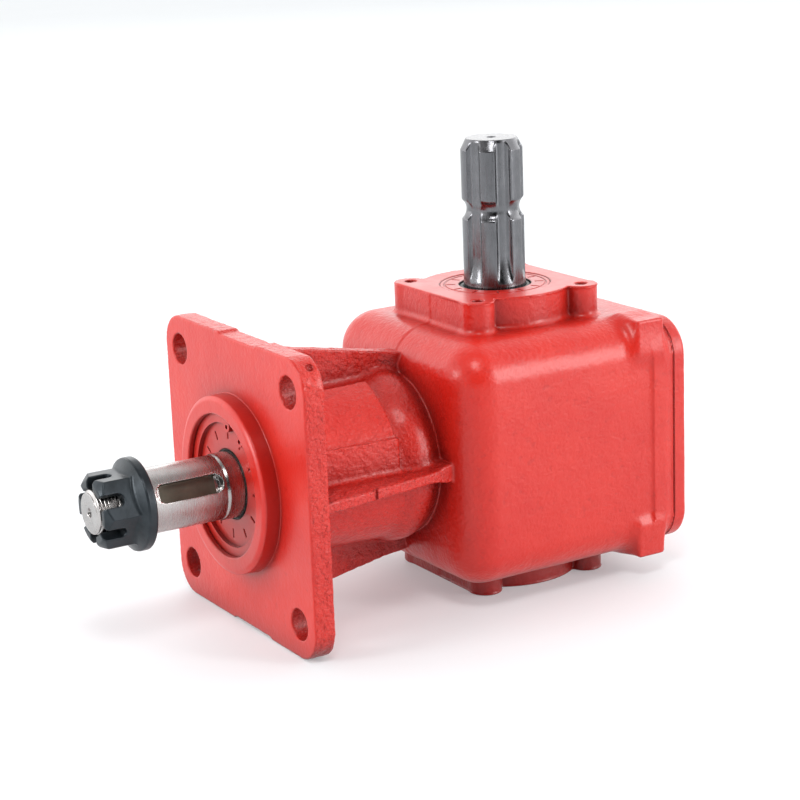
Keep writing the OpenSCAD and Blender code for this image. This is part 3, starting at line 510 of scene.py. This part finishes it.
def seal_distance(depth, r, angle, outer, shaft, inner):
    """Lip seal, depth measured in from its closed face; short grooves ring the face."""
    thick, width = 3.0, 10.0
    face = slab(np.abs(r - (outer + inner) / 2) - (outer - inner) / 2, depth, 0, thick, 0.4)
    wall = slab(np.abs(r - outer + 1.1) - 1.1, depth, 0, width, 0.4)
    lip = slab(np.abs(r - shaft - 1.15) - 1.1, depth, 0.7, 7.2, 0.7)
    body = np.minimum(np.minimum(face, wall), lip)
    middle = inner + 0.42 * (outer - inner)
    mark = np.maximum(np.abs(r * np.sin(fold(angle, 12))) - 0.55, np.abs(r - middle) - 2.4)
    step = slab(np.abs(r - outer + 2.6) - 0.5, depth, -2, 0.5, 0.2)
    return cut(body, np.minimum(np.maximum(mark, depth - 0.8), step), 0.4)


def output_seal_distance(x, y, z):
    depth, r, outer = x - SEAL_FACE_X, hypot2(y, z), OUTPUT_SEAL_HIGH[1]
    return seal_distance(depth, r, np.arctan2(y, z), outer, SEAL_JOURNAL_R, SEAL_JOURNAL_R + 1.2)


def input_seal_distance(x, y, z):
    u, outer = x - AXIS_X, INPUT_SEAL_HIGH[1]
    depth, r = INPUT_SEAL_HIGH[2] - z, hypot2(u, y)
    return seal_distance(depth, r, np.arctan2(y, u), outer, SHAFT_R, SHAFT_R + 2.8)


# ---- Meshing a distance function ----

BLOCK = 12


def sample(distance, low, step, shape):
    """The distance on a grid, worked out only in blocks near the surface."""
    field = np.empty(shape, np.float32)
    grids = [np.arange(0, n, BLOCK) for n in shape]
    # Half a block's diagonal, and room for distances that aren't exact
    reach = BLOCK * step * 0.9 + 3
    local = np.stack(np.meshgrid(*[np.arange(BLOCK)] * 3, indexing="ij"), -1).reshape(-1, 3)
    for ix in grids[0]:
        corners = np.array([(ix, iy, iz) for iy in grids[1] for iz in grids[2]])
        middle = low + (corners + BLOCK / 2) * step
        centre = distance(*middle.T.astype(np.float32))
        near = np.abs(centre) < reach
        for (i, j, k), d in zip(corners[~near], centre[~near], strict=True):
            field[i : i + BLOCK, j : j + BLOCK, k : k + BLOCK] = d
        if not near.any():
            continue
        points = low + (corners[near][:, None] + local[None]) * step
        values = distance(*points.reshape(-1, 3).T.astype(np.float32))
        values = values.reshape(-1, BLOCK, BLOCK, BLOCK)
        for (i, j, k), v in zip(corners[near], values, strict=True):
            part = field[i : i + BLOCK, j : j + BLOCK, k : k + BLOCK]
            part[...] = v[: part.shape[0], : part.shape[1], : part.shape[2]]
    return field


def surface_net(field):
    """Vertices, in grid units, and quads of the zero surface of a sampled distance."""
    inside = field < 0
    cells = tuple(n - 1 for n in field.shape)
    total = np.zeros(cells, np.float32)
    place = [np.zeros(cells, np.float32) for _ in range(3)]
    for axis in range(3):
        a = np.take(field, range(field.shape[axis] - 1), axis)
        b = np.take(field, range(1, field.shape[axis]), axis)
        crossing = (a < 0) != (b < 0)
        t = np.where(crossing, a / np.where(crossing, a - b, 1), 0)
        others = [o for o in range(3) if o != axis]
        for du in (0, 1):
            for dv in (0, 1):
                pick = [slice(None)] * 3
                pick[others[0]] = slice(du, du + cells[others[0]])
                pick[others[1]] = slice(dv, dv + cells[others[1]])
                hit = crossing[tuple(pick)]
                total += hit
                place[axis] += t[tuple(pick)]
                place[others[0]] += du * hit
                place[others[1]] += dv * hit
    active = total > 0
    index = np.full(cells, -1, np.int64)
    index[active] = np.arange(active.sum())
    where = np.argwhere(active).astype(np.float64)
    verts = where + np.stack([p[active] / total[active] for p in place], 1)
    quads = []
    for axis in range(3):
        u, v = (axis + 1) % 3, (axis + 2) % 3
        a = np.take(inside, range(cells[axis]), axis)
        b = np.take(inside, range(1, cells[axis] + 1), axis)
        edges = np.argwhere(a != b)
        edges = edges[(edges[:, u] > 0) & (edges[:, v] > 0)]
        edges = edges[(edges[:, u] < cells[u]) & (edges[:, v] < cells[v])]
        corners = []
        for du, dv in ((-1, -1), (0, -1), (0, 0), (-1, 0)):
            e = edges.copy()
            e[:, u] += du
            e[:, v] += dv
            corners.append(index[tuple(e.T)])
        quad = np.stack(corners, 1)
        flip = ~a[tuple(edges.T)]
        quad[flip] = quad[flip][:, ::-1]
        quads.append(quad)
    return verts, np.concatenate(quads)


def slope_of(distance, points, eps):
    """Gradient of a distance function at points."""
    out = np.empty_like(points)
    for axis in range(3):
        step = np.zeros(3)
        step[axis] = eps
        ahead = distance(*(points + step).T.astype(np.float32))
        behind = distance(*(points - step).T.astype(np.float32))
        out[:, axis] = (ahead - behind) / (2 * eps)
    return out


def shell(distance, low, high, step):
    """Points, quads and normals of a distance function's zero surface inside a box."""
    start_low = np.array(low, float) - 2.5 * step
    shape = tuple(int(math.ceil((h + 2.5 * step - a) / step)) + 1 for a, h in zip(start_low, high))
    verts, quads = surface_net(sample(distance, start_low, step, shape))
    points = start_low + verts * step
    start = points.copy()
    # Two Newton steps onto the surface, kept within 0.7 of a cell
    for _ in range(2):
        d = distance(*points.T.astype(np.float32))
        g = slope_of(distance, points, 0.25 * step)
        size = np.maximum((g * g).sum(1), 0.2)
        points = points - g * (d / size)[:, None]
        moved = points - start
        length = np.linalg.norm(moved, axis=1, keepdims=True)
        points = start + moved * np.minimum(1, 0.7 * step / np.maximum(length, 1e-9))
    points = np.clip(points, low, high)
    normals = slope_of(distance, points, 0.3 * step)
    normals /= np.maximum(np.linalg.norm(normals, axis=1, keepdims=True), 1e-9)
    return points, quads, normals


def solid_from(name, *shells):
    """Blender object made of one or more shells."""
    points, quads, normals, count = [], [], [], 0
    for p, q, n in shells:
        points.append(p)
        quads.append(q + count)
        normals.append(n)
        count += len(p)
    mesh = bpy.data.meshes.new(name)
    mesh.from_pydata((np.concatenate(points) * MM).tolist(), [], np.concatenate(quads).tolist())
    mesh.polygons.foreach_set("use_smooth", [True] * len(mesh.polygons))
    mesh.normals_split_custom_set_from_vertices(np.concatenate(normals).tolist())
    obj = bpy.data.objects.new(name, mesh)
    bpy.context.scene.collection.objects.link(obj)
    return obj


# ---- Materials ----


class Tree:
    """Short names for building a material's nodes."""

    def __init__(self, name):
        self.material = bpy.data.materials.new(name)
        self.material.use_nodes = True
        self.nodes = self.material.node_tree.nodes
        self.links = self.material.node_tree.links
        self.shader = self.nodes["Principled BSDF"]
        self.coords = self.add("ShaderNodeTexCoord").outputs["Object"]

    def add(self, kind, inputs=(), **settings):
        node = self.nodes.new(kind)
        for key, value in settings.items():
            setattr(node, key, value)
        for key, value in dict(inputs).items():
            self.put(value, node.inputs[key])
        return node

    def put(self, value, socket):
        if isinstance(value, bpy.types.NodeSocket):
            self.links.new(value, socket)
        else:
            socket.default_value = value

    def texture(self, scale, detail=2.0, rough=0.5, vector=None):
        """Noise of so many lumps per metre."""
        inputs = {"Scale": scale, "Detail": detail, "Roughness": rough, "Vector": vector or self.coords}
        return self.add("ShaderNodeTexNoise", inputs).outputs["Fac"]

    def stretched(self, scale):
        """Object coordinates scaled along each axis."""
        return self.add("ShaderNodeMapping", {"Vector": self.coords, "Scale": scale}).outputs["Vector"]

    def axis(self, index):
        return self.add("ShaderNodeSeparateXYZ", {"Vector": self.coords}).outputs[index]

    def curve(self, value, low, high, to_low=0.0, to_high=1.0):
        inputs = {"Value": value, "From Min": low, "From Max": high, "To Min": to_low, "To Max": to_high}
        return self.add("ShaderNodeMapRange", inputs).outputs["Result"]

    def math(self, kind, a, b=0.0):
        return self.add("ShaderNodeMath", {0: a, 1: b}, operation=kind).outputs[0]

    def squared(self, a):
        return self.math("MULTIPLY", a, a)

    def blend(self, factor, a, b):
        node = self.add("ShaderNodeMix", data_type="RGBA")
        self.put(factor, node.inputs["Factor"])
        for key, value in (("A", a), ("B", b)):
            socket = [s for s in node.inputs if s.name == key and s.type == "RGBA"][0]
            self.put((*value, 1) if isinstance(value, tuple) else value, socket)
        return [s for s in node.outputs if s.type == "RGBA"][0]

    def bump(self, height, distance, normal=None):
        inputs = {"Height": height, "Distance": distance}
        if normal is not None:
            inputs["Normal"] = normal
        return self.add("ShaderNodeBump", inputs).outputs["Normal"]

    def set(self, **values):
        for key, value in values.items():
            self.put(value, self.shader.inputs[key.replace("_", " ")])
        return self.material


PAINT = (0.56, 0.010, 0.004)
PAINT_DEEP = (0.40, 0.006, 0.003)
PAINT_PALE = (0.62, 0.019, 0.009)
# Colour of the painted shade in creases and recesses
PAINT_CREASE_SHADE = (0.12, 0.003, 0.003)


def paint_material(name, grain=1.0):
    """Glossy red enamel over a sand casting, with painted shade in its creases; grain scales the skin's
    texture.
    """
    t = Tree(name)
    peel = t.math("SUBTRACT", t.texture(520, 2.0, 0.55), 0.5)
    lumps = t.texture(230, 2.0, 0.5)
    broad = t.texture(24, 3.0, 0.6)
    colour = t.blend(t.curve(broad, 0.35, 0.7), PAINT, PAINT_PALE)
    colour = t.blend(t.curve(lumps, 0.26, 0.38, 0.35, 0.0), colour, PAINT_DEEP)
    # Painted shade: creases, recesses and holes are darkened by how enclosed they are
    crease_shade = t.add("ShaderNodeAmbientOcclusion", {"Distance": 0.022}, samples=6).outputs["AO"]
    colour = t.blend(t.curve(crease_shade, 0.3, 0.92, 0.75, 0.0), colour, PAINT_CREASE_SHADE)
    # Machined faces are smoother than the cast skin round them
    cast = t.curve(t.axis(0), 0.0002, 0.0016)
    cast = t.math("MULTIPLY", cast, t.curve(t.axis(2), (TOP_Z - 1.0) * MM, (TOP_Z - 0.2) * MM, 1, 0))
    # The neck is rougher than the box, and the fins that stand out from it are roughest
    neck = t.curve(t.axis(0), (BOX_BACK_X - 4) * MM, (BOX_BACK_X + 1) * MM, 1.0, 0.42)
    radius = t.math("SQRT", t.math("ADD", t.squared(t.axis(1)), t.squared(t.axis(2))))
    fins = t.math("MULTIPLY", t.curve(radius, 0.049, 0.053), t.curve(neck, 0.6, 1.0))
    cast = t.math("MULTIPLY", t.curve(cast, 0, 1, 0.10, 1), t.math("ADD", neck, fins))
    skin = t.bump(t.math("MULTIPLY", t.math("SUBTRACT", lumps, 0.5), cast), 0.0011 * grain)
    skin = t.bump(t.math("MULTIPLY", peel, cast), 0.0009 * grain, skin)
    gloss = t.curve(t.texture(70, 3.0, 0.6), 0.3, 0.7, 0.36, 0.46)
    coat = {"Coat_Weight": 0.4, "Coat_Roughness": 0.26}
    return t.set(Base_Color=colour, Roughness=gloss, Normal=skin, Specular_IOR_Level=0.33, **coat)


def machined_material(name, colour, scale, roughness=0.28, streak=0.1):
    """Turned or ground metal, with fine marks that run where scale is low."""
    t = Tree(name)
    marks = t.texture(90, 4.0, 0.7, t.stretched(scale))
    stain = t.texture(55, 3.0, 0.6)
    base = t.blend(t.curve(stain, 0.35, 0.7), colour, tuple(c * 0.78 for c in colour))
    gloss = t.curve(marks, 0.3, 0.7, roughness - streak / 2, roughness + streak / 2)
    return t.set(Base_Color=base, Metallic=1.0, Roughness=gloss, Normal=t.bump(marks, 0.00005))


def black_oxide_material(name):
    """Dark blue-black steel with a faint haze."""
    t = Tree(name)
    haze = t.texture(60, 4.0, 0.65)
    grain = t.texture(700, 2.0, 0.5)
    base = t.blend(t.curve(haze, 0.35, 0.7), (0.015, 0.020, 0.024), (0.034, 0.043, 0.051))
    gloss = t.curve(haze, 0.3, 0.7, 0.26, 0.40)
    return t.set(Base_Color=base, Metallic=0.55, Roughness=gloss, Normal=t.bump(grain, 0.00006))


def plain_material(name, colour, metallic, roughness, grain=0.00005):
    """Even material with slight stains and a fine grain."""
    t = Tree(name)
    stain = t.texture(80, 3.0, 0.6)
    fine = t.texture(500, 2.0, 0.5)
    base = t.blend(t.curve(stain, 0.35, 0.7), colour, tuple(c * 0.7 for c in colour))
    gloss = t.curve(stain, 0.3, 0.7, roughness, roughness + 0.12)
    return t.set(Base_Color=base, Metallic=metallic, Roughness=gloss, Normal=t.bump(fine, grain))


paint = paint_material("red_paint")
paint_smooth = paint_material("red_paint_smooth", 0.25)
steel_x = machined_material("ground_steel_x", (0.49, 0.47, 0.46), (26, 1, 1), 0.26)
# Painted shade: the splined shaft's ground steel is a much darker copy of the keyed shaft's, for the
# dark surroundings it reflects
steel_z_shaded = machined_material("ground_steel_z", (0.18, 0.18, 0.19), (9, 9, 1), 0.24, 0.2)
gear_steel = plain_material("gear_steel", (0.42, 0.41, 0.40), 1.0, 0.34)
bearing_steel = plain_material("bearing_steel", (0.66, 0.66, 0.67), 1.0, 0.16)
black_oxide = black_oxide_material("black_oxide")
brass = plain_material("brass", (0.62, 0.42, 0.14), 1.0, 0.30)
zinc = plain_material("zinc", (0.62, 0.63, 0.64), 1.0, 0.28)
copper = plain_material("copper", (0.70, 0.30, 0.14), 1.0, 0.32)
keyway_steel = plain_material("keyway_steel", (0.16, 0.155, 0.12), 0.8, 0.45)
lip_rubber = plain_material("lip_rubber", (0.018, 0.022, 0.018), 0.0, 0.42, 0.0001)

BY_SLOT = {
    "red_paint": paint_smooth,
    "painted_seal": paint_smooth,
    "gasket": paint_smooth,
    "gear_steel": gear_steel,
    "bearing_steel": bearing_steel,
    "cage_brass": brass,
    "black_oxide": black_oxide,
    "plug_brass": brass,
    "zinc_plug": zinc,
    "copper_washer": copper,
    "ground_steel": steel_x,
}


def dress(obj, *materials):
    """Gives an object these materials and no others."""
    obj.data.materials.clear()
    for material in materials:
        obj.data.materials.append(material)


for part in frame["record"]["subparts"]:
    dress(NODES[part["node"]], BY_SLOT[part["material_slot"]])

# ---- Pieces made here ----


def piece(name, node, body, slot_name, materials, *regions):
    """A detailed piece in place of a CAD node; regions are (distance, low, high, step)."""
    obj = solid_from(name, *[shell(d, low, high, step) for d, low, high, step in regions])
    dress(obj, *materials)
    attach(obj, body)
    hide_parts(node)
    return obj


def whole(node, distance, step):
    """One region over all of a CAD node's box."""
    low, high = box_mm(node)
    return distance, low, high, step


def mark(obj, test):
    """Gives the second material to the faces that a test of their centres, in mm, picks."""
    centres = np.empty(3 * len(obj.data.polygons))
    obj.data.polygons.foreach_get("center", centres)
    picked = test(*(centres.reshape(-1, 3).T / MM))
    obj.data.polygons.foreach_set("material_index", picked.astype(np.int32))


def keyway_faces(x, y, z):
    """True for faces inside the output shaft's keyway, but for the last 3 mm at each end."""
    out, across = tilted(y, z, KEYWAY_TILT)
    along = (x > KEYWAY_X[0] - 2) & (x < KEYWAY_X[1] + 2)
    sunk = (hypot2(y, z) < SHAFT_R - 0.4) & (out > KEYWAY_FLOOR - 1.5)
    return along & sunk & (np.abs(across) < KEYWAY_HALF + 0.1)


piece("housing_casting", "housing", "root", "red_paint", [paint],
      whole("housing", housing_distance, 1.05))
piece("side_cover_casting", "side_cover", "root", "red_paint", [paint],
      whole("side_cover", cover_distance, 1.1))
piece("bottom_cap_pressing", "bottom_cap", "root", "red_paint", [paint_smooth],
      whole("bottom_cap", cap_distance, 0.9))
piece("splined_shaft", "input_shaft", "input_shaft", "ground_steel", [steel_z_shaded],
      whole("input_shaft", input_shaft_distance, 0.75))
STUB_LOW = np.array([OUTPUT_LOW[0], -THREAD_R, -THREAD_R])
STUB_HIGH = np.array([THREAD_X, THREAD_R, THREAD_R])
KEYED_LOW = np.array([KEYED_X, OUTPUT_LOW[1], OUTPUT_LOW[2]])
shaft = piece("keyed_shaft", "output_shaft", "output_shaft", "ground_steel",
              [steel_x, keyway_steel],
              (output_shaft_distance, KEYED_LOW, OUTPUT_HIGH, 0.8),
              (thread_distance, STUB_LOW, STUB_HIGH, 0.4))
mark(shaft, keyway_faces)
piece("castle_nut_forging", "castle_nut", "output_shaft", "black_oxide", [black_oxide],
      whole("castle_nut", nut_distance, 0.55))
seal = piece("output_lip_seal", "output_seal", "root", "painted_seal", [paint_smooth, lip_rubber],
             whole("output_seal", output_seal_distance, 0.6))
mark(seal, lambda x, y, z: hypot2(y, z) < SEAL_JOURNAL_R + 1.3)
seal = piece("input_lip_seal", "input_seal", "root", "painted_seal", [paint_smooth, lip_rubber],
             whole("input_seal", input_seal_distance, 0.6))
mark(seal, lambda x, y, z: hypot2(x - AXIS_X, y) < SHAFT_R + 2.9)

# ---- Stage, lights and camera ----


def add_floor():
    """Pale floor, a hair below the flange and the bottom pad."""
    bpy.ops.mesh.primitive_plane_add(size=14, location=(0, 0, FLOOR_Z * MM - 0.0002))
    floor = bpy.context.object
    floor.name = "floor"
    t = Tree("floor")
    tone = t.blend(t.texture(6, 2.0), (0.60, 0.62, 0.63), (0.62, 0.64, 0.65))
    # A little light of its own, as a lit table has, keeps the shadows pale
    glow = {"Emission_Color": (0.95, 0.97, 1.0, 1), "Emission_Strength": 0.28}
    dress(floor, t.set(Base_Color=tone, Roughness=0.6, Specular_IOR_Level=0.2, **glow))


def add_light(name, place, target, size, power):
    """Rectangular lamp aimed at a point; places and sizes in metres, power in watts."""
    data = bpy.data.lights.new(name, "AREA")
    data.shape = "RECTANGLE"
    data.size, data.size_y = size
    data.energy = power
    obj = bpy.data.objects.new(name, data)
    obj.location = place
    obj.rotation_euler = (Vector(target) - Vector(place)).to_track_quat("-Z", "Y").to_euler()
    bpy.context.scene.collection.objects.link(obj)


def add_sun(name, direction, strength, spread):
    """Distant light along a direction, softened over spread degrees of the sky."""
    data = bpy.data.lights.new(name, "SUN")
    data.energy = strength
    data.angle = math.radians(spread)
    obj = bpy.data.objects.new(name, data)
    obj.rotation_euler = Vector(direction).to_track_quat("-Z", "Y").to_euler()
    bpy.context.scene.collection.objects.link(obj)


def add_world(zones):
    """Bright zones round the scene: (direction, cosine at its edge, cosine where it is full, level)."""
    world = bpy.data.worlds.new("studio")
    world.use_nodes = True
    nodes, links = world.node_tree.nodes, world.node_tree.links
    place = nodes.new("ShaderNodeTexCoord")
    total = None
    for direction, start, full, bright in zones:
        facing = nodes.new("ShaderNodeVectorMath")
        facing.operation = "DOT_PRODUCT"
        facing.inputs[1].default_value = Vector(direction).normalized()
        level = nodes.new("ShaderNodeMapRange")
        level.interpolation_type = "SMOOTHSTEP"
        for key, value in {"From Min": start, "From Max": full, "To Max": bright}.items():
            level.inputs[key].default_value = value
        links.new(place.outputs["Generated"], facing.inputs[0])
        links.new(facing.outputs["Value"], level.inputs["Value"])
        if total is not None:
            joined = nodes.new("ShaderNodeMath")
            links.new(total, joined.inputs[0])
            links.new(level.outputs["Result"], joined.inputs[1])
            total = joined.outputs[0]
        else:
            total = level.outputs["Result"]
    back = nodes["Background"]
    links.new(total, back.inputs["Strength"])
    back.inputs["Color"].default_value = (1, 1, 1, 1)
    bpy.context.scene.world = world


def add_camera():
    """Camera left of the front, a little above, with a slight roll."""
    azimuth, elevation, roll = map(math.radians, (-30.86, 14.76, -2.22))
    distance, lift, left = 1.2368, 0.01655, 0.05655
    level = math.cos(elevation)
    back = Vector((math.sin(azimuth) * level, -math.cos(azimuth) * level, math.sin(elevation)))
    flat_right = (-back).cross(Vector((0, 0, 1))).normalized()
    flat_up = flat_right.cross(-back)
    right = flat_right * math.cos(roll) + flat_up * math.sin(roll)
    up = flat_up * math.cos(roll) - flat_right * math.sin(roll)
    centre = Vector((AXIS_X * MM, 0, 0))
    data = bpy.data.cameras.new("camera")
    data.sensor_width = 36
    data.lens = 97.25
    camera = bpy.data.objects.new("camera", data)
    place = centre + back * distance + up * lift - right * left
    turn = Matrix((right, up, back)).transposed()
    camera.matrix_world = Matrix.Translation(place) @ turn.to_4x4()
    bpy.context.scene.collection.objects.link(camera)
    bpy.context.scene.camera = camera


add_floor()
add_world([((1, -0.35, 0), 0.3, 0.85, 1.6), ((0.35, 1, 0), -0.1, 0.6, 1.4),
           ((-1, 0.35, 0), 0.3, 0.85, 0.95)])
add_sun("overhead", (0.12, 0.10, -1.0), 0.2, 70)
add_light("back", (1.8, 3.3, 1.35), (0.15, 0, 0), (2.6, 0.9), 12)
add_light("left", (-2.2, 0.2, 0.9), (0.08, 0, 0), (0.8, 0.8), 25)
add_light("front_right", (1.4, -1.8, 0.7), (0.15, 0, 0), (0.5, 1.3), 24)
add_light("front_top", (-0.35, -0.9, 1.6), (0.1, 0, 0), (0.5, 0.5), 11)
add_camera()
bpy.context.scene.view_settings.view_transform = "Standard"
